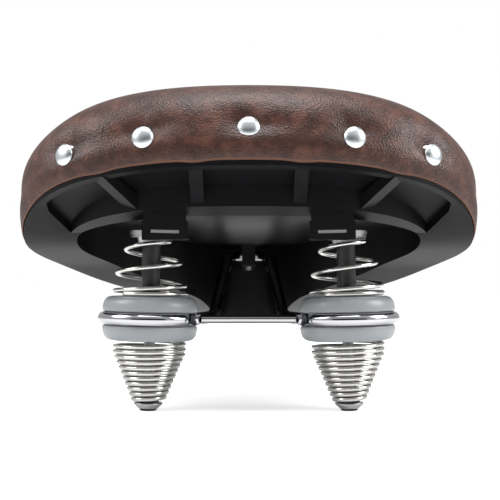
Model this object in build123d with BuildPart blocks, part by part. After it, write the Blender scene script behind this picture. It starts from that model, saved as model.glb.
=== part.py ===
"""Sprung bicycle saddle: padded cover on a ribbed base, wire rail frame, two rear spring units.

Units are millimetres. Z is up, the nose points along +Y and the rider's right is +X.
The origin is midway between the two rails, on their centre lines, where a seat post clamp grips.
The straight rails and the two rear rings lie in the plane z = 0.
"""
import math
import os

from build123d import *

# cover outline and shape
HALF_WIDTH = 128.5
REAR_Y = -98.0
WIDEST_Y = -28.0
NOSE_Y = 164.0
DOME_HEIGHT = 72.8
COVER_THICK = 2.0
SOFT_GAP = 0.3

# base
BASE_INSET = COVER_THICK + SOFT_GAP
FLANGE_THICK = 7.0
BASE_WALL = 3.0
LIP_WIDTH = 3.2
RIB_WIDTH = 7.0
SOCKET_WIDTH = 24.6
SOCKET_X = 44.6

# rails
WIRE = 3.5
RAIL_X = 22.0
RING_X = 54.2
RING_Y = -43.0
RING_RADIUS = 25.0
LEAN = 1.3
HINGE_Y = 108.0
HINGE_Z = 38.0
NOSE_HALF = 13.5
NOSE_CORNER = 8.0
BAR_RADIUS = 2.25

# spring units
ELASTOMER_RADIUS = 26.0
ELASTOMER_HEIGHT = 8.6
BORE_RADIUS = 8.8
BOLT_RADIUS = 3.0
TUBE_RADIUS = 5.2
UPPER_WIRE = 1.2
UPPER_TOP = 44.5
CONE_WIRE = 1.2
CONE_BOTTOM = -46.2
PLATE_Z = 46.2
PLATE_THICK = 1.6
RIVET_RADIUS = 5.7

SIDES = {"left": -1, "right": 1}

os.makedirs("parts", exist_ok=True)


# ---------------------------------------------------------------- shared shapes
RIM_POINTS = [
    (0, -98), (39, -96), (72, -89), (99, -75.5), (117, -57),
    (126.5, -40), (128.5, -28), (125, -12), (113, 7), (93, 26), (66, 48),
    (47, 72), (36, 98), (29, 130), (19, 153), (0, 164),
]
DISH_POINTS = [
    (0, -58), (32, -57), (62, -52), (86, -42), (96, -32), (96, -20),
    (87, -4), (72, 14), (50, 34), (33, 54), (26, 76), (22, 100), (19, 124), (0, 132),
]
COLLAR_POINTS = [
    (0, -69), (32, -68), (64, -62), (92, -46), (101, -30), (99, -14),
    (88, 0), (76, 14), (40, 20), (0, 22),
]
RIM_PROFILE = [
    (-110, 87), (-90, 76.5), (-58, 62), (-28, 43.5), (7, 30.5), (27, 21),
    (62, 8), (102, -3), (135, -6), (164, -9), (175, -10),
]
TOP_PROFILE = [
    (-110, 92), (-90, 85), (-58, 70), (-28, 59), (10, 52), (60, 48),
    (105, 47), (125, 40.5), (140, 31), (175, 16),
]
BAND_PROFILE = [(-110, 75.5), (-68, 59.3), (12, 28.5), (60, 10), (175, -8)]
# height above the pivot, then the share of the outline's size
DOME_LEVELS = [
    (-32, 1.0), (-8, 1.0), (15, 1.0), (33, 0.968), (48, 0.905), (59.5, 0.805),
    (67, 0.64), (71, 0.46), (DOME_HEIGHT, 0.3),
]
DOME_SLOPE = 0.34
PIVOT_Y = -50.0
PIVOT_Z = 57.0
MIDDLE_Y = 30.0


def inset_points(points, inset):
    """Half outline moved inwards along its own normal; both ends stay on the centre line."""
    moved = [(0, points[0][1] + inset)]
    for before, here, after in zip(points, points[1:], points[2:]):
        along_x = after[0] - before[0]
        along_y = after[1] - before[1]
        length = math.hypot(along_x, along_y)
        moved.append((here[0] - inset * along_y / length, here[1] + inset * along_x / length))
    moved.append((0, points[-1][1] - inset))
    return moved


def outline_prism(points, inset):
    """Vertical prism over a closed outline that is mirrored about the centre plane."""
    with BuildPart() as prism:
        with BuildSketch(Plane.XY.offset(-60)):
            with BuildLine():
                half = Spline(*inset_points(points, inset), tangents=[(1, 0), (-1, 0)])
                mirror(half, about=Plane.YZ)
            make_face()
        extrude(amount=220)
    return prism.part


def profile_band(low, low_shift, high, high_shift):
    """Slab across the whole width, between two side profiles."""
    with BuildPart() as band:
        with BuildSketch(Plane.YZ):
            with BuildLine():
                bottom = Spline(*[(y, z + low_shift) for y, z in low])
                top = Spline(*[(y, z + high_shift) for y, z in high])
                Line(bottom @ 0, top @ 0)
                Line(bottom @ 1, top @ 1)
            make_face()
        extrude(amount=150, both=True)
    return band.part


def below(profile, shift):
    """Everything under a side profile."""
    with BuildPart() as space:
        with BuildSketch(Plane.YZ):
            with BuildLine():
                edge = Spline(*[(y, z + shift) for y, z in profile])
                Polyline(edge @ 0, ((edge @ 0).X, -90), ((edge @ 1).X, -90), edge @ 1)
            make_face()
        extrude(amount=150, both=True)
    return space.part


def dome(inset):
    """Saddle-shaped dome lofted through tilted outlines, the same distance inside the cover all over."""
    tilt = math.atan(DOME_SLOPE)
    with BuildPart() as solid:
        for height, size_share in DOME_LEVELS:
            drop = max(0, inset * height / DOME_HEIGHT)
            level = Plane(
                origin=(0, PIVOT_Y, PIVOT_Z + height - drop),
                x_dir=(1, 0, 0),
                z_dir=(0, math.sin(tilt), math.cos(tilt)),
            )
            points = []
            for x, y in inset_points(RIM_POINTS, inset):
                moved_y = MIDDLE_Y + (y - MIDDLE_Y) * size_share
                points.append((x * size_share, (moved_y - PIVOT_Y) / math.cos(tilt)))
            with BuildSketch(level):
                with BuildLine():
                    half = Spline(*points, tangents=[(1, 0), (-1, 0)])
                    mirror(half, about=Plane.YZ)
                make_face()
        loft()
    return solid.part


def unit_section(side):
    """Section plane through a spring unit: x is the radius, y the height along the leaning axis."""
    lean = math.radians(LEAN)
    return Plane(
        origin=(side * RING_X, RING_Y, 0),
        x_dir=(math.cos(lean), 0, side * math.sin(lean)),
        z_dir=(0, -1, 0),
    )


def unit_level(side, height):
    """Plane across a spring unit's axis at a height along it."""
    section = unit_section(side)
    return Plane(
        origin=section.origin + section.y_dir * height,
        x_dir=section.x_dir,
        z_dir=section.y_dir,
    )


def unit_axis(side):
    section = unit_section(side)
    return Axis(section.origin, section.y_dir)


def coil(side, first_angle, turns, centre_line, wire):
    """Round wire along a right-handed coil; centre_line gives radius and height from 0 to 1."""
    level = unit_level(side, 0)
    steps = round(turns * 10)
    points = []
    for step in range(steps + 1):
        share = step / steps
        radius, height = centre_line(share)
        angle = math.radians(first_angle + share * turns * 360)
        points.append(
            level.from_local_coords(
                Vector(radius * math.cos(angle), radius * math.sin(angle), height)
            )
        )
    with BuildPart() as spring:
        with BuildLine() as path:
            Spline(*points)
        with BuildSketch(Plane(origin=path.line @ 0, z_dir=path.line % 0)):
            Circle(wire)
        sweep(is_frenet=True)
    return spring.part


def between(share, stations):
    """Linear reading of a short list of (share, value) stations."""
    for (low, low_value), (high, high_value) in zip(stations, stations[1:]):
        if share <= high:
            return low_value + (high_value - low_value) * (share - low) / (high - low)
    return stations[-1][1]


def block(plane, profile, depth):
    """Prism of a closed polygon, centred on its plane."""
    with BuildPart() as prism:
        with BuildSketch(plane):
            with BuildLine():
                Polyline(*profile, close=True)
            make_face()
        extrude(amount=depth / 2, both=True)
    return prism.part


# ---------------------------------------------------------------- rail frame
# One bent wire: from a nearly closed ring under each spring, along the straight
# clamp zone, up into the nose and across it. The rings lean with the springs.
RING_SWEEP = 318
with BuildPart() as rail_wire:
    ring = unit_section(1)
    start = ring.origin - ring.x_dir * RING_RADIUS
    with BuildLine() as half_rail:
        loop_end = (
            ring.origin
            - ring.x_dir * RING_RADIUS * math.cos(math.radians(RING_SWEEP))
            + Vector(0, -RING_RADIUS * math.sin(math.radians(RING_SWEEP)), 0)
        )
        loop_middle = (
            ring.origin
            - ring.x_dir * RING_RADIUS * math.cos(math.radians(RING_SWEEP / 2))
            + Vector(0, -RING_RADIUS * math.sin(math.radians(RING_SWEEP / 2)), 0)
        )
        ThreePointArc(loop_end, loop_middle, start)
        Spline(start, (RAIL_X, RING_Y + 23, 0), tangents=[(0, 1, 0), (0, 1, 0)])
        Line((RAIL_X, RING_Y + 23, 0), (RAIL_X, 27, 0))
        Spline(
            (RAIL_X, 27, 0),
            (NOSE_HALF, HINGE_Y - NOSE_CORNER, HINGE_Z),
            tangents=[(0, 1, 0), (0, 1, 0)],
        )
        RadiusArc(
            (NOSE_HALF, HINGE_Y - NOSE_CORNER, HINGE_Z),
            (NOSE_HALF - NOSE_CORNER, HINGE_Y, HINGE_Z),
            -NOSE_CORNER,
        )
        Line((NOSE_HALF - NOSE_CORNER, HINGE_Y, HINGE_Z), (0, HINGE_Y, HINGE_Z))
    with BuildSketch(Plane(origin=half_rail.line @ 0, z_dir=half_rail.line % 0)):
        Circle(WIRE)
    sweep()
    mirror(about=Plane.YZ)
rail_wire.part.label = "rail_wire"
export_step(rail_wire.part, "parts/rail_wire.step")

# Round bar welded between the inner sides of the two rings.
with BuildPart() as rear_cross_bar:
    with BuildSketch(Plane.YZ.offset(-RING_X + RING_RADIUS)):
        with Locations((RING_Y, -0.5)):
            Circle(BAR_RADIUS)
    extrude(amount=2 * (RING_X - RING_RADIUS))
    add(rail_wire.part, mode=Mode.SUBTRACT)
rear_cross_bar.part.label = "rear_cross_bar"
export_step(rear_cross_bar.part, "parts/rear_cross_bar.step")


# ---------------------------------------------------------------- spring units
def elastomer(side, way):
    """Rubber ring above (way 1) or below (way -1) the rail ring, with a spigot that centres it."""
    outer = ELASTOMER_RADIUS
    spigot = RING_RADIUS - WIRE - 0.2
    low = WIRE
    high = WIRE + ELASTOMER_HEIGHT
    with BuildPart() as ring:
        with BuildSketch(unit_section(side)):
            with BuildLine():
                Polyline(
                    (outer - 1.0, way * low),
                    (spigot, way * low),
                    (spigot, way * 0.1),
                    (BORE_RADIUS, way * 0.1),
                    (BORE_RADIUS, way * high),
                    (outer - 3.8, way * high),
                )
                Spline(
                    (outer - 3.8, way * high),
                    (outer - 0.9, way * (high - 3.0)),
                    (outer, way * (low + 1.6)),
                    (outer - 1.0, way * low),
                )
            make_face()
        revolve(axis=unit_axis(side))
    return ring.part


def turned(side, profile):
    """Solid turned about a spring unit's axis from a closed (radius, height) profile."""
    with BuildPart() as body:
        with BuildSketch(unit_section(side)):
            with BuildLine():
                Polyline(*profile, close=True)
            make_face()
        revolve(axis=unit_axis(side))
    return body.part


def upper_coil(share):
    radius = between(share, [(0, 19.6), (0.3, 19.5), (0.55, 18.4), (0.83, 14.2), (1, 9.6)])
    low = WIRE + ELASTOMER_HEIGHT + UPPER_WIRE
    high = UPPER_TOP - UPPER_WIRE
    height = between(share, [(0, low), (0.26, low + 1.5), (0.42, low + 5.7), (0.9, high - 2.6), (1, high)])
    return radius, height


def cone_coil(share):
    radius = between(share, [(0, 8.0), (0.82, 19.0), (1, 19.0)])
    low = CONE_BOTTOM + CONE_WIRE
    high = -WIRE - ELASTOMER_HEIGHT - CONE_WIRE
    return radius, low + (high - low) * share


for hand, side in SIDES.items():
    # Grey rubber spring seat resting on top of the ring.
    with BuildPart() as upper_elastomer:
        add(elastomer(side, 1))
    upper_elastomer.part.label = f"{hand}_upper_elastomer"
    export_step(upper_elastomer.part, f"parts/{hand}_upper_elastomer.step")

    # The same rubber ring turned over, under the rail ring.
    with BuildPart() as lower_elastomer:
        add(elastomer(side, -1))
    lower_elastomer.part.label = f"{hand}_lower_elastomer"
    export_step(lower_elastomer.part, f"parts/{hand}_lower_elastomer.step")

    # Open coil spring between the upper rubber and the spring plate, wide at its foot.
    with BuildPart() as upper_spring:
        add(coil(side, -130, 3.45, upper_coil, UPPER_WIRE))
    upper_spring.part.label = f"{hand}_upper_spring"
    export_step(upper_spring.part, f"parts/{hand}_upper_spring.step")

    # Close-wound cone spring between the lower rubber and the cone nut.
    with BuildPart() as cone_spring:
        add(coil(side, 90, 11, cone_coil, CONE_WIRE))
    cone_spring.part.label = f"{hand}_cone_spring"
    export_step(cone_spring.part, f"parts/{hand}_cone_spring.step")

    # Steel washer with a collar that centres the small end of the upper spring.
    with BuildPart() as spring_cup:
        add(
            turned(
                side,
                [
                    (TUBE_RADIUS + 0.1, PLATE_Z), (11.4, PLATE_Z), (11.4, UPPER_TOP),
                    (8.0, UPPER_TOP), (7.4, UPPER_TOP - 3), (TUBE_RADIUS + 0.1, UPPER_TOP - 3),
                ],
            )
        )
    spring_cup.part.label = f"{hand}_spring_cup"
    export_step(spring_cup.part, f"parts/{hand}_spring_cup.step")

    # Black tube that keeps the upper spring straight and slides inside the rubber rings.
    with BuildPart() as guide_tube:
        add(
            turned(
                side,
                [
                    (BOLT_RADIUS + 0.2, 6), (TUBE_RADIUS - 0.6, 6), (TUBE_RADIUS, 6.6),
                    (TUBE_RADIUS, PLATE_Z), (BOLT_RADIUS + 0.2, PLATE_Z),
                ],
            )
        )
    guide_tube.part.label = f"{hand}_guide_tube"
    export_step(guide_tube.part, f"parts/{hand}_guide_tube.step")

    # Pressed steel plate: a round eye over the spring and a tongue in the base's socket.
    with BuildPart() as spring_plate:
        with BuildSketch(unit_level(side, PLATE_Z)):
            Circle(12)
            tongue_x = -side * (RING_X - 1.0 - SOCKET_X)
            with Locations((tongue_x, -12.6)):
                Rectangle(15, 12)
            with Locations((0, 14.5)):
                Rectangle(13, 17)
            with Locations((0, 0)):
                Circle(BOLT_RADIUS + 0.1, mode=Mode.SUBTRACT)
            with Locations((0, 18)):
                Circle(2.1, mode=Mode.SUBTRACT)
        extrude(amount=PLATE_THICK)
    spring_plate.part.label = f"{hand}_spring_plate"
    export_step(spring_plate.part, f"parts/{hand}_spring_plate.step")

    # Long bolt from the plate down through tube, rubbers and cone spring.
    with BuildPart() as suspension_bolt:
        with BuildSketch(unit_level(side, PLATE_Z + PLATE_THICK)):
            RegularPolygon(radius=5.6, side_count=6)
        extrude(amount=3.8)
        with BuildSketch(unit_level(side, -48.4)):
            Circle(BOLT_RADIUS)
        extrude(amount=48.4 + PLATE_Z + PLATE_THICK)
    suspension_bolt.part.label = f"{hand}_suspension_bolt"
    export_step(suspension_bolt.part, f"parts/{hand}_suspension_bolt.step")

    # Cone nut screwed on the bolt's end; its shoulder carries the last coil.
    with BuildPart() as cone_nut:
        add(
            turned(
                side,
                [
                    (BOLT_RADIUS + 0.05, -38.5), (5.4, -38.5), (5.9, CONE_BOTTOM),
                    (7.8, CONE_BOTTOM), (7.6, -47.0), (5.2, -49.4), (BOLT_RADIUS + 0.05, -49.4),
                ],
            )
        )
    cone_nut.part.label = f"{hand}_cone_nut"
    export_step(cone_nut.part, f"parts/{hand}_cone_nut.step")

# Two black plugs that close the cone nuts' lower ends.
with BuildPart() as foot_plugs:
    for side in SIDES.values():
        add(
            turned(
                side,
                [(0, -48.5), (2.8, -48.5), (2.8, -49.4), (4.9, -49.4), (4.5, -50.4), (0, -50.4)],
            )
        )
foot_plugs.part.label = "foot_plugs"
export_step(foot_plugs.part, "parts/foot_plugs.step")


# ---------------------------------------------------------------- base shell
CRADLE_WIDTH = 9.0
CRADLE_BORE = WIRE + 0.3
SCREW_SPREAD = 9.0
POCKET_DEPTH = 5.0
SOCKET_REAR = -62.0
SOCKET_FRONT = -55.4
SOCKET_LOW = 42.4
SOCKET_HIGH = 52.4


def rib(rim_point, collar_point, side):
    """Upright web under the flange from the rim's lip to the collar."""
    start = Vector(side * rim_point[0], rim_point[1], 0)
    end = Vector(side * collar_point[0], collar_point[1], 0)
    along = end - start
    start_z = between(start.Y, RIM_PROFILE) - 0.6
    end_z = between(end.Y, BAND_PROFILE) + 0.6
    upright = Plane(origin=start, x_dir=along, z_dir=along.cross(Vector(0, 0, 1)))
    profile = [
        (0, start_z), (along.length, end_z), (along.length, end_z + 8), (0, start_z + 6),
    ]
    return block(upright, profile, RIB_WIDTH)


ribs = []
for side in SIDES.values():
    ribs.append(rib((26.8, -93.0), (26.8, -64.0), side))
    ribs.append(rib((77.0, -84.0), (60.0, -59.0), side))

pan_space = outline_prism(DISH_POINTS, 0) & below(TOP_PROFILE, -BASE_WALL)
with BuildPart() as pocket_space:
    with BuildSketch(Plane.XY):
        with BuildLine():
            Polyline((0, -36), (98.5, -36), (108, -53), (108, -110), (0, -110))
            mirror(about=Plane.YZ)
        make_face()
    extrude(amount=150)
    add(outline_prism(RIM_POINTS, BASE_INSET + LIP_WIDTH), mode=Mode.INTERSECT)
    add(outline_prism(COLLAR_POINTS, 0), mode=Mode.SUBTRACT)
    add(below(RIM_PROFILE, POCKET_DEPTH - 1), mode=Mode.INTERSECT)

with BuildPart() as cradle_block:
    with Locations((0, HINGE_Y, HINGE_Z)):
        Box(CRADLE_WIDTH, 3 * SCREW_SPREAD, 12, align=(Align.CENTER, Align.CENTER, Align.MIN))
    add(below(TOP_PROFILE, -0.5), mode=Mode.INTERSECT)

# Moulded base: a flange all round, a raised pan with deep sides over the springs and
# rails, a collar round the back of the pan and ribs that leave five pockets. Two slotted
# sockets hang from the collar, and a grooved block in the nose takes the bent rail.
with BuildPart() as base_shell:
    add(outline_prism(RIM_POINTS, BASE_INSET) & profile_band(RIM_PROFILE, -1, RIM_PROFILE, FLANGE_THICK - 1))
    add(pocket_space.part, mode=Mode.SUBTRACT)
    add(outline_prism(DISH_POINTS, -BASE_WALL) & profile_band(RIM_PROFILE, 0.5, TOP_PROFILE, 0))
    add(outline_prism(COLLAR_POINTS, 0) & profile_band(BAND_PROFILE, 0, RIM_PROFILE, FLANGE_THICK - 1))
    add(pan_space, mode=Mode.SUBTRACT)
    add(ribs)
    for side in SIDES.values():
        with Locations((side * SOCKET_X, (SOCKET_REAR + SOCKET_FRONT) / 2, SOCKET_LOW)):
            Box(
                SOCKET_WIDTH, SOCKET_FRONT - SOCKET_REAR, SOCKET_HIGH - SOCKET_LOW,
                align=(Align.CENTER, Align.CENTER, Align.MIN),
            )
        with Locations((side * SOCKET_X, SOCKET_REAR, SOCKET_HIGH - 1)):
            Box(SOCKET_WIDTH - 2, 4.5, 10, align=(Align.CENTER, Align.MIN, Align.MIN))
        tongue_x = -side * (RING_X - 1.0 - SOCKET_X)
        with BuildSketch(unit_level(side, PLATE_Z - 0.2)):
            with Locations((tongue_x, -12.6)):
                Rectangle(15.4, 20)
        extrude(amount=PLATE_THICK + 0.4, mode=Mode.SUBTRACT)
        with BuildSketch(unit_level(side, PLATE_Z + PLATE_THICK)):
            with Locations((0, 18)):
                Circle(5)
        extrude(amount=9.5)
        with BuildSketch(unit_level(side, PLATE_Z + PLATE_THICK)):
            with Locations((0, 18)):
                Circle(2.05)
        extrude(amount=8.2, mode=Mode.SUBTRACT)
    add(cradle_block.part)
    with Locations((0, HINGE_Y, HINGE_Z)):
        Cylinder(CRADLE_BORE, 2 * CRADLE_WIDTH, rotation=(0, 90, 0), mode=Mode.SUBTRACT)
    with Locations((0, HINGE_Y - SCREW_SPREAD, HINGE_Z), (0, HINGE_Y + SCREW_SPREAD, HINGE_Z)):
        Cylinder(2.05, 5, align=(Align.CENTER, Align.CENTER, Align.MIN), mode=Mode.SUBTRACT)
base_shell.part.label = "base_shell"
export_step(base_shell.part, "parts/base_shell.step")

# Nose cap: closes the groove over the rail's cross piece, held by two screws.
CAP_LOW = HINGE_Z - 7.2
with BuildPart() as nose_cap:
    with Locations((0, HINGE_Y, HINGE_Z)):
        Box(CRADLE_WIDTH, 3 * SCREW_SPREAD, HINGE_Z - CAP_LOW, align=(Align.CENTER, Align.CENTER, Align.MAX))
        Cylinder(CRADLE_BORE, 2 * CRADLE_WIDTH, rotation=(0, 90, 0), mode=Mode.SUBTRACT)
    with Locations((0, HINGE_Y - SCREW_SPREAD, HINGE_Z), (0, HINGE_Y + SCREW_SPREAD, HINGE_Z)):
        Cylinder(2.05, 30, mode=Mode.SUBTRACT)
    fillet(nose_cap.edges().filter_by(Axis.X).group_by(Axis.Z)[0], 1.5)
nose_cap.part.label = "nose_cap"
export_step(nose_cap.part, "parts/nose_cap.step")

# Two round-headed screws through the nose cap.
with BuildPart() as nose_screws:
    with Locations((0, HINGE_Y - SCREW_SPREAD, CAP_LOW), (0, HINGE_Y + SCREW_SPREAD, CAP_LOW)):
        Cylinder(3.6, 2.4, align=(Align.CENTER, Align.CENTER, Align.MAX))
        Cylinder(2.0, 11.8, align=(Align.CENTER, Align.CENTER, Align.MIN))
    with Locations((0, HINGE_Y - SCREW_SPREAD, CAP_LOW - 2.4), (0, HINGE_Y + SCREW_SPREAD, CAP_LOW - 2.4)):
        Cylinder(1.0, 1.2, align=(Align.CENTER, Align.CENTER, Align.MIN), mode=Mode.SUBTRACT)
nose_screws.part.label = "nose_screws"
export_step(nose_screws.part, "parts/nose_screws.step")

# Two screws that hold the front ends of the spring plates to the base.
with BuildPart() as plate_screws:
    for side in SIDES.values():
        with BuildSketch(unit_level(side, PLATE_Z)):
            with Locations((0, 18)):
                Circle(4.0)
        extrude(amount=-2.6)
        with BuildSketch(unit_level(side, PLATE_Z)):
            with Locations((0, 18)):
                Circle(2.0)
        extrude(amount=PLATE_THICK + 7.6)
plate_screws.part.label = "plate_screws"
export_step(plate_screws.part, "parts/plate_screws.step")


# ---------------------------------------------------------------- foam, cover and rivets
outer_dome = dome(0)
RIVET_PLACES = [(0, 97.6), (53, 92.6), (-53, 92.6), (95.5, 85), (-95.5, 85)]
rivet_seats = []
for x, height in RIVET_PLACES:
    hit, normal = outer_dome.find_intersection_points(Axis((x, -200, height), (0, 1, 0)))[0]
    outward = normal if normal.Y < 0 else -normal
    rivet_seats.append(Plane(origin=hit, z_dir=outward))


def discs(low, high, radius):
    """Short round bars square to the cover at every rivet."""
    with BuildPart() as bars:
        for seat in rivet_seats:
            with BuildSketch(seat.offset(low)):
                Circle(radius)
            extrude(amount=high - low)
    return bars.part


# Moulded foam: fills the space between the base and the cover.
with BuildPart() as foam_pad:
    add(dome(BASE_INSET + SOFT_GAP))
    add(below(RIM_PROFILE, FLANGE_THICK - 1 + SOFT_GAP), mode=Mode.SUBTRACT)
    add(
        outline_prism(DISH_POINTS, -BASE_WALL - SOFT_GAP) & below(TOP_PROFILE, SOFT_GAP),
        mode=Mode.SUBTRACT,
    )
    add(discs(-4.4, 1, 7.0), mode=Mode.SUBTRACT)
    add(discs(-9.5, 1, 2.2), mode=Mode.SUBTRACT)
foam_pad.part.label = "foam_pad"
export_step(foam_pad.part, "parts/foam_pad.step")

# Leatherette cover: wraps the foam down to the base's rim all round.
with BuildPart() as cover:
    add(outer_dome)
    add(dome(COVER_THICK), mode=Mode.SUBTRACT)
    add(below(RIM_PROFILE, 0.8), mode=Mode.SUBTRACT)
    add(discs(-8, 4, 2.0), mode=Mode.SUBTRACT)
cover.part.label = "cover"
export_step(cover.part, "parts/cover.step")

# Five domed rivets round the back of the cover.
with BuildPart() as rivets:
    for seat in rivet_seats:
        section = Plane(origin=seat.origin, x_dir=seat.x_dir, z_dir=-seat.y_dir)
        with BuildSketch(section):
            with BuildLine():
                Polyline(
                    (0, -9), (1.8, -9), (1.8, 0.05), (RIVET_RADIUS, 0.05), (RIVET_RADIUS, 0.5),
                    (4.9, 1.4), (3.2, 2.2), (1.4, 2.6), (0, 2.6), (0, -9),
                )
            make_face()
        revolve(axis=Axis(seat.origin, seat.z_dir))
rivets.part.label = "rivets"
export_step(rivets.part, "parts/rivets.step")

# Washers behind the cover that the rivets are closed over.
with BuildPart() as rivet_washers:
    add(discs(-4.0, -3.1, 6.4))
    add(discs(-6, 0, 1.9), mode=Mode.SUBTRACT)
rivet_washers.part.label = "rivet_washers"
export_step(rivet_washers.part, "parts/rivet_washers.step")
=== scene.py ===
import math

import bmesh
import bpy
import numpy as np
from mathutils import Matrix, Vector
from mathutils.kdtree import KDTree


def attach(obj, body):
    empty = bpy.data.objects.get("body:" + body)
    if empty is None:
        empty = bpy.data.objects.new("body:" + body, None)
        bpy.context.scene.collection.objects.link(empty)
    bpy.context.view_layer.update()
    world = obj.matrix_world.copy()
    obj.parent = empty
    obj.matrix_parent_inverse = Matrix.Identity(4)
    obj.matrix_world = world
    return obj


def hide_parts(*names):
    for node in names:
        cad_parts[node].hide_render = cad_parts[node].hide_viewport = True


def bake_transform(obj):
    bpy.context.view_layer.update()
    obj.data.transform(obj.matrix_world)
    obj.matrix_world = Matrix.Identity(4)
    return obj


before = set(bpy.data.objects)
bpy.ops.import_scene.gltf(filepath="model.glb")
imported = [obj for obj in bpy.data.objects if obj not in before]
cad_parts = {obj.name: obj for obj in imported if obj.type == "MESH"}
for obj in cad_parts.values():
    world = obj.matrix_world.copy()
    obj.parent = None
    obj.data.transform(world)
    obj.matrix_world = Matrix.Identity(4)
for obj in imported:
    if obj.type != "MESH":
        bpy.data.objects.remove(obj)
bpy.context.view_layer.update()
TAU = 2 * math.pi


def material(name, colour, rough, metal=0.0, specular=0.5):
    """Principled material with plain values."""
    m = bpy.data.materials.new(name)
    m.use_nodes = True
    shader = m.node_tree.nodes["Principled BSDF"]
    shader.inputs["Base Color"].default_value = (*colour, 1)
    shader.inputs["Roughness"].default_value = rough
    shader.inputs["Metallic"].default_value = metal
    shader.inputs["Specular IOR Level"].default_value = specular
    return m


def node(m, kind, **values):
    """Adds a node to a material, with its sockets or settings given by name."""
    made = m.node_tree.nodes.new(kind)
    for key, value in values.items():
        if key in made.inputs:
            made.inputs[key].default_value = value
        else:
            setattr(made, key, value)
    return made


def coordinates(m):
    """Position on the object itself, in metres."""
    return node(m, "ShaderNodeTexCoord").outputs["Object"]


def bump(m, height, strength, distance, under=None):
    """Adds a bump from a height output to the material's shader and returns it."""
    made = node(m, "ShaderNodeBump", Strength=strength, Distance=distance)
    m.node_tree.links.new(height, made.inputs["Height"])
    if under:
        m.node_tree.links.new(under.outputs["Normal"], made.inputs["Normal"])
    shader = m.node_tree.nodes["Principled BSDF"]
    m.node_tree.links.new(made.outputs["Normal"], shader.inputs["Normal"])
    return made


def noise(m, scale, detail, rough=0.5):
    """Cloudy value from 0 to 1; scale is the number of clouds in a metre."""
    made = node(m, "ShaderNodeTexNoise", Scale=scale, Detail=detail, Roughness=rough)
    m.node_tree.links.new(coordinates(m), made.inputs["Vector"])
    return made.outputs["Fac"]


def ramp(m, fac, stops):
    """Colours a material by a value output; stops are (place, colour)."""
    made = node(m, "ShaderNodeValToRGB")
    elements = made.color_ramp.elements
    while len(elements) < len(stops):
        elements.new(0.5)
    for element, (place, colour) in zip(elements, stops):
        element.position = place
        element.color = (*colour, 1)
    m.node_tree.links.new(fac, made.inputs["Fac"])
    shader = m.node_tree.nodes["Principled BSDF"]
    m.node_tree.links.new(made.outputs["Color"], shader.inputs["Base Color"])


def mesh(name, points, faces, materials, face_slots=None, smooth=True):
    """Object made of points and faces; face_slots says which material each face has."""
    data = bpy.data.meshes.new(name)
    data.from_pydata([tuple(p) for p in points], [], [tuple(f) for f in faces])
    data.validate()
    for m in materials:
        data.materials.append(m)
    if face_slots is not None:
        data.polygons.foreach_set("material_index", face_slots)
    data.polygons.foreach_set("use_smooth", [smooth] * len(data.polygons))
    data.update()
    made = bpy.data.objects.new(name, data)
    bpy.context.scene.collection.objects.link(made)
    return made


def grid_faces(rows, columns, closed_rows=False):
    """Quads of a grid whose columns close round; point index is row * columns + column."""
    r = np.arange(rows if closed_rows else rows - 1)[:, None]
    c = np.arange(columns)[None, :]
    up = (r + 1) % rows
    right = (c + 1) % columns
    faces = np.stack(
        [r * columns + c, r * columns + right, up * columns + right, up * columns + c], -1
    )
    return faces.reshape(-1, 4)


def tube(name, centre, radius, sides, m):
    """Round wire along a line of points, with rounded closed ends.

    Each ring stands square to the line, its first direction carried on from the ring
    before so that the surface doesn't twist.
    """
    centre = np.asarray(centre, float)
    along = np.gradient(centre, axis=0)
    along /= np.linalg.norm(along, axis=1)[:, None]
    side = np.cross(along[0], [0.0, 0.0, 1.0])
    rings = []
    angles = np.arange(sides) / sides * TAU
    for place, direction in zip(centre, along):
        side = side - direction * (side @ direction)
        side /= np.linalg.norm(side)
        up = np.cross(direction, side)
        rings.append((place, direction, side, up))
    points = []
    order = [(0, -radius * 0.9, 0.45), (0, -radius * 0.5, 0.86)]
    order += [(i, 0.0, 1.0) for i in range(len(rings))]
    order += [(len(rings) - 1, radius * 0.5, 0.86), (len(rings) - 1, radius * 0.9, 0.45)]
    for i, shift, share in order:
        place, direction, side, up = rings[i]
        ring = np.cos(angles)[:, None] * side + np.sin(angles)[:, None] * up
        points.append(place + direction * shift + ring * radius * share)
    points = np.concatenate(points)
    rows = len(order)
    faces = [tuple(f) for f in grid_faces(rows, sides)]
    start = len(points)
    points = np.vstack([
        points,
        rings[0][0] - rings[0][1] * radius,
        rings[-1][0] + rings[-1][1] * radius,
    ])
    for c in range(sides):
        faces.append((start, (c + 1) % sides, c))
        faces.append((start + 1, (rows - 1) * sides + c, (rows - 1) * sides + (c + 1) % sides))
    return mesh(name, points, faces, [m])


def turned(name, profile, place, axis, m, sides=64):
    """Closed profile of (radius, height) points turned round an axis; poles where radius is 0."""
    axis = np.asarray(axis, float)
    axis /= np.linalg.norm(axis)
    side = np.cross([0.0, 1.0, 0.0] if abs(axis[1]) < 0.9 else [1.0, 0.0, 0.0], axis)
    side /= np.linalg.norm(side)
    other = np.cross(axis, side)
    angles = np.arange(sides) / sides * TAU
    profile = np.asarray(profile, float)
    rings = [
        place + axis * h + r * (np.cos(angles)[:, None] * side + np.sin(angles)[:, None] * other)
        for r, h in profile
    ]
    points = np.concatenate(rings)
    pole = profile[0, 0] < 1e-7
    faces = grid_faces(len(profile), sides, closed_rows=not pole)
    made = mesh(name, points, faces, [m])
    clean(made)
    return made


def clean(made):
    """Merges doubled points and turns the faces outward."""
    b = bmesh.new()
    b.from_mesh(made.data)
    bmesh.ops.remove_doubles(b, verts=b.verts, dist=1e-6)
    bmesh.ops.recalc_face_normals(b, faces=b.faces)
    b.to_mesh(made.data)
    b.free()
    made.data.update()


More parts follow.
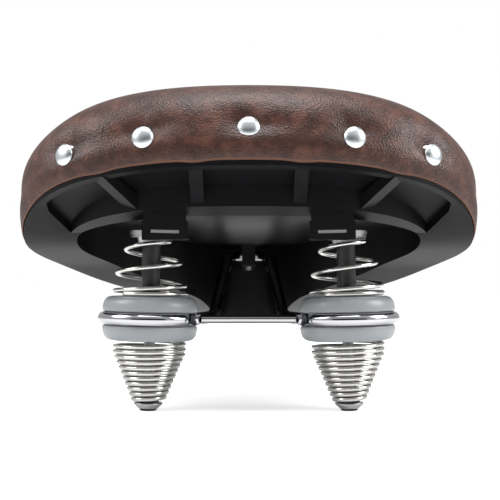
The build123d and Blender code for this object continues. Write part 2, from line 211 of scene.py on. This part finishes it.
def smooth_profile(points, rounding=3):
    """Cuts the corners of an open profile a few times, so that edges catch light."""
    points = np.asarray(points, float)
    for _ in range(rounding):
        before = points[:-1] * 0.75 + points[1:] * 0.25
        after = points[:-1] * 0.25 + points[1:] * 0.75
        middle = np.empty((len(before) * 2, 2))
        middle[0::2] = before
        middle[1::2] = after
        points = np.vstack([points[:1], middle, points[-1:]])
    return points


def spline(knots, values, at, start=None, end=None):
    """Natural or clamped cubic through (knot, value) pairs, read at the given places."""
    knots = np.asarray(knots, float)
    values = np.asarray(values, float)
    n = len(knots)
    step = np.diff(knots)
    system = np.zeros((n, n))
    right = np.zeros(n)
    for i in range(1, n - 1):
        system[i, i - 1] = step[i - 1]
        system[i, i] = 2 * (step[i - 1] + step[i])
        system[i, i + 1] = step[i]
        right[i] = 6 * (
            (values[i + 1] - values[i]) / step[i] - (values[i] - values[i - 1]) / step[i - 1]
        )
    system[0, 0] = system[-1, -1] = 1
    if start is not None:
        system[0, :2] = 2 * step[0], step[0]
        right[0] = 6 * ((values[1] - values[0]) / step[0] - start)
        system[-1, -2:] = step[-1], 2 * step[-1]
        right[-1] = 6 * (end - (values[-1] - values[-2]) / step[-1])
    bend = np.linalg.solve(system, right)
    i = np.clip(np.searchsorted(knots, at) - 1, 0, n - 2)
    a = (knots[i + 1] - at) / step[i]
    b = 1 - a
    return (
        a * values[i] + b * values[i + 1]
        + ((a**3 - a) * bend[i] + (b**3 - b) * bend[i + 1]) * step[i] ** 2 / 6
    )


def outline(columns, inset):
    """Closed plan outline moved inwards by inset; columns points, evenly spaced by length."""
    rim = np.array([
        (0, -98), (39, -96), (72, -89), (99, -75.5), (117, -57),
        (126.5, -40), (128.5, -28), (125, -12), (113, 7), (93, 26), (66, 48),
        (47, 72), (36, 98), (29, 130), (24.9, 139.2), (21, 147.5), (19, 153), (18.2, 156),
        (17.2, 158.9), (15.2, 161.1), (12.5, 162.5), (9.6, 163.3), (5, 163.85), (0, 164),
    ]) / 1000
    length = np.concatenate([[0], np.cumsum(np.linalg.norm(np.diff(rim, axis=0), axis=1))])
    half = columns // 2
    at = np.linspace(0, length[-1], half + 1)
    x = spline(length, rim[:, 0], at, 1.0, -1.0)
    y = spline(length, rim[:, 1], at, 0.0, 0.0)
    tangent = np.stack([np.gradient(x), np.gradient(y)], 1)
    tangent[0] = (1, 0)
    tangent[-1] = (-1, 0)
    tangent /= np.linalg.norm(tangent, axis=1)[:, None]
    x = x - inset * tangent[:, 1]
    y = y + inset * tangent[:, 0]
    x[0] = x[-1] = 0
    return np.concatenate([x, -x[-2:0:-1]]), np.concatenate([y, y[-2:0:-1]])


def dome(columns, rows, inset, edge, tuck):
    """Grid of the padded shape, from its lower edge up to the crown.

    The lower rows rise from the rim line to the tilted shoulder plane, drawn in by tuck at
    the edge and fading out as the square of what is left of the way up; above it
    the outline shrinks as 1 - share^3.5 = (height / 58 mm)^2.
    """
    rim_line = np.array([
        (-110, 87), (-90, 76.5), (-58, 62), (-28, 43.5), (7, 30.5), (27, 21),
        (62, 8), (102, -3), (135, -6), (164, -9), (175, -10),
    ]) / 1000
    middle_y = 0.03
    full_rise = 0.058
    wall = 18

    def shoulder_height(at_y):
        """Height of the shoulder plane, which tilts down towards the nose."""
        return 0.072 - 0.34 * (at_y + 0.05)

    x, y = outline(columns, inset)
    low = spline(rim_line[:, 0], rim_line[:, 1], y) + edge
    # the edge dips a little over each of the base's four ribs
    for rib_x in (-0.076, -0.0268, 0.0268, 0.076):
        low = low - 0.0009 * np.exp(-(((x - rib_x) / 0.007) ** 2)) * (y < -0.04)
    grid = []
    share = np.concatenate([
        1 - np.linspace(0, 1, rows) ** 2 * 0.25, np.linspace(0.75, 0.02, rows)[1:],
    ])
    shoulder = shoulder_height(y)
    for i in range(wall):
        drawn_x, drawn_y = outline(columns, inset + tuck * (1 - i / wall) ** 2)
        grid.append(np.stack([drawn_x, drawn_y, low + (shoulder - low) * (i / wall) ** 1.3], 1))
    for s in share:
        rise = (full_rise - inset) * math.sqrt(max(0, 1 - s**3.5))
        shrunk_y = middle_y + (y - middle_y) * s
        grid.append(np.stack([x * s, shrunk_y, shoulder_height(shrunk_y) + rise], 1))
    return np.array(grid)


def normals(grid):
    """Unit vectors square to a grid that closes round, facing outward."""
    along = np.roll(grid, -1, 1) - np.roll(grid, 1, 1)
    up = np.gradient(grid, axis=0)
    n = np.cross(along, up)
    return n / (np.linalg.norm(n, axis=2)[..., None] + 1e-12)


def unit_point(side, radius, angle, height):
    """Point in a spring unit's frame, which leans inwards by 1.3 degrees."""
    lean = math.radians(1.3)
    r, a = np.asarray(radius, float), np.asarray(angle, float)
    across, ahead = r * np.cos(a), r * np.sin(a)
    height = np.asarray(height, float)
    x = side * 0.0542 + across * math.cos(lean) - side * math.sin(lean) * height
    z = side * across * math.sin(lean) + height * math.cos(lean)
    return np.stack([x, -0.043 + ahead, z], -1)


def hermite(start, end, pull, steps):
    """Smooth bend between two points that leaves and arrives along +Y; pull is its stiffness."""
    t = np.linspace(0, 1, steps)[1:, None]
    start, end = np.array(start), np.array(end)
    way = np.array([0, pull, 0])
    return (
        (2 * t**3 - 3 * t**2 + 1) * start + (t**3 - 2 * t**2 + t) * way
        + (-2 * t**3 + 3 * t**2) * end + (t**3 - t**2) * way
    )


# ---------------------------------------------------------------- cover
# Mottled red-brown leatherette, about 2 mm thick, stretched over the foam and drawn in
# by the rivets. Its cut lower edge shows as a thin line just above the base's lip; the
# edge's lighter orange-brown colour is a painted highlight.
leatherette = material("leatherette", (0.058, 0.024, 0.018), 0.38, specular=0.36)
ramp(
    leatherette,
    noise(leatherette, 120.0, 6.0, 0.65),
    [(0.3, (0.020, 0.008, 0.006)), (0.5, (0.052, 0.019, 0.013)), (0.7, (0.105, 0.042, 0.028))],
)
grain = node(leatherette, "ShaderNodeTexVoronoi", Scale=1000.0)
leatherette.node_tree.links.new(coordinates(leatherette), grain.inputs["Vector"])
first = bump(leatherette, grain.outputs["Distance"], 0.7, 0.0003)
bump(leatherette, noise(leatherette, 420.0, 5.0, 0.55), 0.10, 0.0005, first)
# painted highlight: the downward-facing cut edge is coloured a lighter orange-brown than the
# leatherette to stand in for the highlight along the cover's lower edge
cut_edge_painted_highlight = material("cut_edge_painted_highlight", (0.13, 0.055, 0.032), 0.7)
columns = 480
thickness = 0.002
edge_above_rim = 0.0012
outer = dome(columns, 40, 0.0, edge_above_rim, 0.0014)
out = normals(outer)
unpressed = outer.copy()
rivet_seats = []
depth = np.zeros(outer.shape[:2])
for rivet_x, rivet_z in ((0, 97.6), (53, 92.6), (-53, 92.6), (95.5, 85), (-95.5, 85)):
    sideways = outer[..., 0] - rivet_x / 1000
    upright = outer[..., 2] - rivet_z / 1000
    gap = np.where(outer[..., 1] < -0.03, np.hypot(sideways, upright), 9)
    seat = np.unravel_index(np.argmin(gap), gap.shape)
    place, way = outer[seat].copy(), out[seat].copy()
    strength = 0.0034 + 0.0008 * (abs(rivet_x) > 80)
    apart = outer - place
    distance = np.linalg.norm(apart, axis=2)
    across = np.cross([0, 0, 1.0], way)
    across /= np.linalg.norm(across)
    upward = np.cross(way, across)
    turn = np.arctan2(apart @ upward, apart @ across)
    depth += strength * np.exp(-((distance / 0.0115) ** 2))
    fold = 0.5 + 0.5 * np.cos(turn * 5 + rivet_x)
    depth += 0.0006 * fold * np.exp(-(((distance - 0.014) / 0.008) ** 2))
    rivet_seats.append((place, way, seat))
x, y, z = outer[..., 0], outer[..., 1], outer[..., 2]
# a soft valley runs from rivet to rivet, and the leatherette swells between them
level = np.interp(np.abs(x), [0, 0.053, 0.0955, 0.13], [0.0976, 0.0926, 0.085, 0.066])
depth += 0.0010 * np.exp(-((z - level) / 0.010) ** 2) * (y < -0.02)
# nothing is drawn in at the foot of the wall, where the base's rim stands just behind
above = np.clip((z - z[0] - 0.007) / 0.013, 0, 1)
depth *= above**2 * (3 - 2 * above)
outer = outer - out * depth[..., None]
inner = dome(columns, 40, thickness, edge_above_rim, 0.0)
inner = inner - normals(inner) * depth[..., None]
rows = len(outer)
outer_points = outer.reshape(-1, 3)
inner_points = inner.reshape(-1, 3)
count = len(outer_points)
outer_faces = grid_faces(rows, columns)
inner_faces = grid_faces(rows, columns)[:, ::-1] + count
edge = np.arange(columns)
edge_next = (edge + 1) % columns
edge_faces = np.stack([edge + count, edge_next + count, edge_next, edge], 1)
top = edge + (rows - 1) * columns
crown = np.vstack([outer[-1].mean(0), inner[-1].mean(0)])
top_next = edge_next + (rows - 1) * columns
faces = [tuple(f) for group in (outer_faces, inner_faces, edge_faces) for f in group]
face_slots = [0] * (len(outer_faces) + len(inner_faces)) + [1] * len(edge_faces)
for a, b in zip(top, top_next):
    faces.append((a, b, 2 * count))
    faces.append((b + count, a + count, 2 * count + 1))
    face_slots += [0, 0]
cover = mesh(
    "cover_skin", np.vstack([outer_points, inner_points, crown]), faces,
    [leatherette, cut_edge_painted_highlight], face_slots,
)
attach(cover, "seat")
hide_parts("cover")

# ---------------------------------------------------------------- rivets
# Bright domed steel rivet heads that pull the leatherette down into the foam. The two
# outer ones are set a little further out of it than the rest.
rivet_metal = material("rivet_metal", (0.70, 0.74, 0.76), 0.33, metal=1.0)
for number, (place, way, seat) in enumerate(rivet_seats):
    pressed = place - way * (depth[seat] - 0.0013 - 0.0009 * (abs(place[0]) > 0.08))
    head = [
        (0, 0.0019), (0.0015, 0.00184), (0.0030, 0.00158), (0.0043, 0.0011), (0.0053, 0.0004),
        (0.0058, -0.0004), (0.0058, -0.0009), (0.0018, -0.0009), (0.0018, -0.006), (0, -0.006),
    ]
    rivet = turned(f"rivet_{number + 1}", head, pressed, way, rivet_metal, 48)
    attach(rivet, "seat")
    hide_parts("rivets")

# ---------------------------------------------------------------- foam
# Moulded foam between the base and the cover, pressed in wherever the cover is drawn in.
# It starts from the frame's pad, cut finer round the rivets so that it can take the dimples.
foam = material("foam", (0.03, 0.03, 0.03), 0.9)
cad_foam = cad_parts["foam_pad"]
soft = bmesh.new()
soft.from_mesh(cad_foam.data)
soft.transform(cad_foam.matrix_world)
longest_edge = 0.004
dimple_reach = 0.03
under_cover = 0.0023
for _ in range(3):
    near = []
    for e in soft.edges:
        middle = (e.verts[0].co + e.verts[1].co) / 2
        reach = min((middle - Vector(place)).length for place, _, _ in rivet_seats)
        if e.calc_length() > longest_edge and reach < dimple_reach:
            near.append(e)
    bmesh.ops.subdivide_edges(soft, edges=near, cuts=1)
    bmesh.ops.triangulate(soft, faces=soft.faces)
surface = unpressed.reshape(-1, 3)
facing = out.reshape(-1, 3)
sunk = depth.reshape(-1)
finder = KDTree(len(surface))
for i, point in enumerate(surface):
    finder.insert(point, i)
finder.balance()
for corner in soft.verts:
    _, i, _ = finder.find(corner.co)
    level_now = float((np.array(corner.co) - surface[i]) @ facing[i])
    wanted = -under_cover - sunk[i]
    if level_now > wanted:
        corner.co += Vector(facing[i] * (wanted - level_now))
foam_data = bpy.data.meshes.new("foam_pressed")
soft.to_mesh(foam_data)
soft.free()
foam_data.materials.clear()
foam_data.materials.append(foam)
foam_body = bpy.data.objects.new("foam_pressed", foam_data)
bpy.context.scene.collection.objects.link(foam_body)
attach(foam_body, "seat")
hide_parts("foam_pad")

# ---------------------------------------------------------------- rail frame
# One 7 mm chromed wire: ring, rail, cross piece in the nose, rail, ring. The rings hold the
# rubber rings of the spring units, and the cross piece turns in the base's nose.
chrome = material("rail_chrome", (0.55, 0.55, 0.57), 0.14, metal=1.0)
# the ring goes 318 degrees round, then swings out into the straight rail
ring_turn = np.radians(180 + 318 - np.linspace(0, 318, 150))
ring = unit_point(1, 0.025, -ring_turn, 0.0)
half = [ring]
half.append(hermite(ring[-1], (0.022, -0.020, 0), 0.023, 16))
half.append(hermite((0.022, -0.020, 0), (0.022, 0.027, 0), 0.047, 12))
half.append(hermite((0.022, 0.027, 0), (0.0135, 0.100, 0.038), 0.082, 40))
corner = np.linspace(0, math.pi / 2, 16)[1:]
corner_x = 0.0055 + 0.008 * np.cos(corner)
corner_y = 0.1 + 0.008 * np.sin(corner)
half.append(np.stack([corner_x, corner_y, np.full(15, 0.038)], 1))
half = np.concatenate(half)
mirrored = half[::-1] * np.array([-1, 1, 1])
rails = tube("rail_wire_bent", np.vstack([half, mirrored]), 0.0035, 32, chrome)
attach(rails, "rail_frame")
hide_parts("rail_wire")

# ---------------------------------------------------------------- springs
# Upper springs: open bright coils that widen downward onto the rubber rings.
# Lower springs: close-wound cones that end on the cone nuts. Both wind right-handed.
spring_metal = material("spring_chrome", (0.66, 0.65, 0.63), 0.2, metal=1.0)
rubber = material("grey_rubber", (0.27, 0.285, 0.295), 0.32, specular=0.5)
bump(rubber, noise(rubber, 900.0, 3.0), 0.08, 0.0002)
zinc = material("zinc_steel", (0.5, 0.5, 0.5), 0.35, metal=1.0)
coil_wire = 0.0012
for hand, side in (("left", -1), ("right", 1)):
    share = np.linspace(0, 1, 330)
    radius = np.interp(share, [0, 0.3, 0.55, 0.83, 1], [19.6, 19.5, 18.4, 14.2, 9.6]) / 1000
    height = np.interp(share, [0, 0.26, 0.42, 0.9, 1], [13.3, 14.8, 19.0, 40.7, 43.3]) / 1000
    soften = np.ones(15) / 15
    radius = np.convolve(np.pad(radius, 7, mode="edge"), soften, "valid")
    height = np.convolve(np.pad(height, 7, mode="edge"), soften, "valid")
    path = unit_point(side, radius, math.radians(-130) + share * 3.45 * TAU, height)
    upper = tube(f"{hand}_upper_coil", path, coil_wire, 14, spring_metal)
    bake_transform(upper)
    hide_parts(f"{hand}_upper_spring")
    share = np.linspace(0, 1, 800)
    radius = np.interp(share, [0, 0.82, 1], [8.0, 19.0, 19.0]) / 1000
    height = (-45.0 + 31.7 * share) / 1000
    path = unit_point(side, radius, math.pi / 2 + share * 11 * TAU, height)
    cone = tube(f"{hand}_cone_coil", path, coil_wire, 14, spring_metal)
    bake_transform(cone)
    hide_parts(f"{hand}_cone_spring")

    # Rubber rings: slate grey, rounded shoulders, with a centring spigot inside the rail ring.
    axis = unit_point(side, 0, 0, 1.0) - unit_point(side, 0, 0, 0.0)
    foot = unit_point(side, 0, 0, 0.0)
    for way, name in ((1, "upper"), (-1, "lower")):
        shape = smooth_profile([
            (0.0213, way * 0.0035), (0.0258, way * 0.0035), (0.0261, way * 0.0060),
            (0.0252, way * 0.0098), (0.0226, way * 0.0121), (0.0150, way * 0.0121),
        ])
        shape = np.vstack([
            [(0.0088, way * 0.0001), (0.0213, way * 0.0001)], shape, [(0.0088, way * 0.0121)],
        ])
        grommet = turned(f"{hand}_{name}_rubber", shape, foot, axis, rubber, 96)
        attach(grommet, "rail_frame")
        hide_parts(f"{hand}_{name}_elastomer")

    # Cone nut: plated steel, its shoulder under the last coil.
    nut = turned(
        f"{hand}_foot_nut",
        [
            (0.00305, -0.0385), (0.0052, -0.0385), (0.0059, -0.0395), (0.0059, -0.0462),
            (0.0078, -0.0462), (0.0078, -0.0468), (0.0074, -0.0473), (0.0054, -0.0492),
            (0.0051, -0.0494), (0.00305, -0.0494),
        ],
        foot, axis, zinc, 64,
    )
    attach(nut, "seat")
    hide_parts(f"{hand}_cone_nut")

# ---------------------------------------------------------------- pieces kept from the frame
# Moulded, turned and pressed parts whose frame shapes are already what they look like.
black = material("black_plastic", (0.005, 0.005, 0.006), 0.32, specular=0.17)
bump(black, noise(black, 1400.0, 3.0), 0.12, 0.0003)
dark_tube = material("tube_black", (0.02, 0.02, 0.022), 0.3)
plain = {
    "base_shell": black, "rear_cross_bar": chrome, "rivet_washers": zinc, "plate_screws": zinc,
    "nose_cap": black, "nose_screws": zinc, "foot_plugs": black,
}
for hand in ("left", "right"):
    plain[f"{hand}_spring_cup"] = zinc
    plain[f"{hand}_guide_tube"] = dark_tube
    plain[f"{hand}_spring_plate"] = zinc
    plain[f"{hand}_suspension_bolt"] = zinc
for name, kept_material in plain.items():
    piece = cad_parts[name]
    piece.data.materials.clear()
    piece.data.materials.append(kept_material)

# ---------------------------------------------------------------- floor, light and camera
# A plain white floor under the cone nuts, a white backdrop and three soft lamps from above.
floor_z = -0.0506
floor_mat = material("floor_white", (0.93, 0.93, 0.93), 0.6, specular=0.2)
# seen directly, the floor glows a little so that it runs into the white backdrop
floor_seen = node(floor_mat, "ShaderNodeLightPath").outputs["Is Camera Ray"]
floor_glow = node(floor_mat, "ShaderNodeMath", operation="MULTIPLY")
floor_glow.inputs[1].default_value = 0.56
floor_mat.node_tree.links.new(floor_seen, floor_glow.inputs[0])
floor_shader = floor_mat.node_tree.nodes["Principled BSDF"]
floor_shader.inputs["Emission Color"].default_value = (1, 1, 1, 1)
floor_mat.node_tree.links.new(floor_glow.outputs["Value"], floor_shader.inputs["Emission Strength"])
floor = mesh(
    "floor",
    [(-6, -3, floor_z), (6, -3, floor_z), (6, 9, floor_z), (-6, 9, floor_z)],
    [(0, 1, 2, 3)], [floor_mat], smooth=False,
)
scene = bpy.context.scene
world = bpy.data.worlds.new("studio")
scene.world = world
world.use_nodes = True
background = world.node_tree.nodes["Background"]
background.inputs["Color"].default_value = (1, 1, 1, 1)
# the backdrop is full white to the camera and softer as a light
seen = world.node_tree.nodes.new("ShaderNodeLightPath")
backdrop = world.node_tree.nodes.new("ShaderNodeMapRange")
backdrop.inputs["To Min"].default_value = 0.5
backdrop.inputs["To Max"].default_value = 1.0
world.node_tree.links.new(seen.outputs["Is Camera Ray"], backdrop.inputs["Value"])
world.node_tree.links.new(backdrop.outputs["Result"], background.inputs["Strength"])
scene.view_settings.view_transform = "Standard"
# a dark card behind the camera shows only in reflections, and darkens the bright metal
dark_card = material("dark_card", (0.01, 0.01, 0.01), 1.0, specular=0.0)
card = mesh(
    "card",
    [(-1.5, -1.9, -0.05), (1.5, -1.9, -0.05), (1.5, -1.9, 0.95), (-1.5, -1.9, 0.95)],
    [(0, 3, 2, 1)], [dark_card], smooth=False,
)
card.visible_camera = False
card.visible_diffuse = False
card.visible_shadow = False
for name, place, size, power, spot in (
    ("key", (-0.9, -0.25, 0.75), 0.6, 8, (0, 0, 0.08)),
    ("fill", (0.95, -0.25, 0.6), 0.6, 9, (0, 0, 0.06)),
    ("top", (0, -0.15, 1.1), 0.7, 11, (0, -0.03, 0.08)),
):
    lamp = bpy.data.lights.new(name, "AREA")
    lamp.size = size
    lamp.energy = power
    lamp_object = bpy.data.objects.new(name, lamp)
    lamp_object.location = place
    aim = np.array(spot) - np.array(place)
    lamp_object.rotation_euler = Vector(aim).to_track_quat("-Z", "Y").to_euler()
    scene.collection.objects.link(lamp_object)
camera = bpy.data.cameras.new("camera")
camera.lens = 72.7
camera.sensor_width = 36
camera.shift_x = 0.0026
camera.shift_y = 0.066
camera.clip_start = 0.01
camera_object = bpy.data.objects.new("camera", camera)
camera_object.location = (0, -0.598, 0.0194)
camera_object.rotation_euler = (math.pi / 2, 0, 0)
scene.collection.objects.link(camera_object)
scene.camera = camera_object
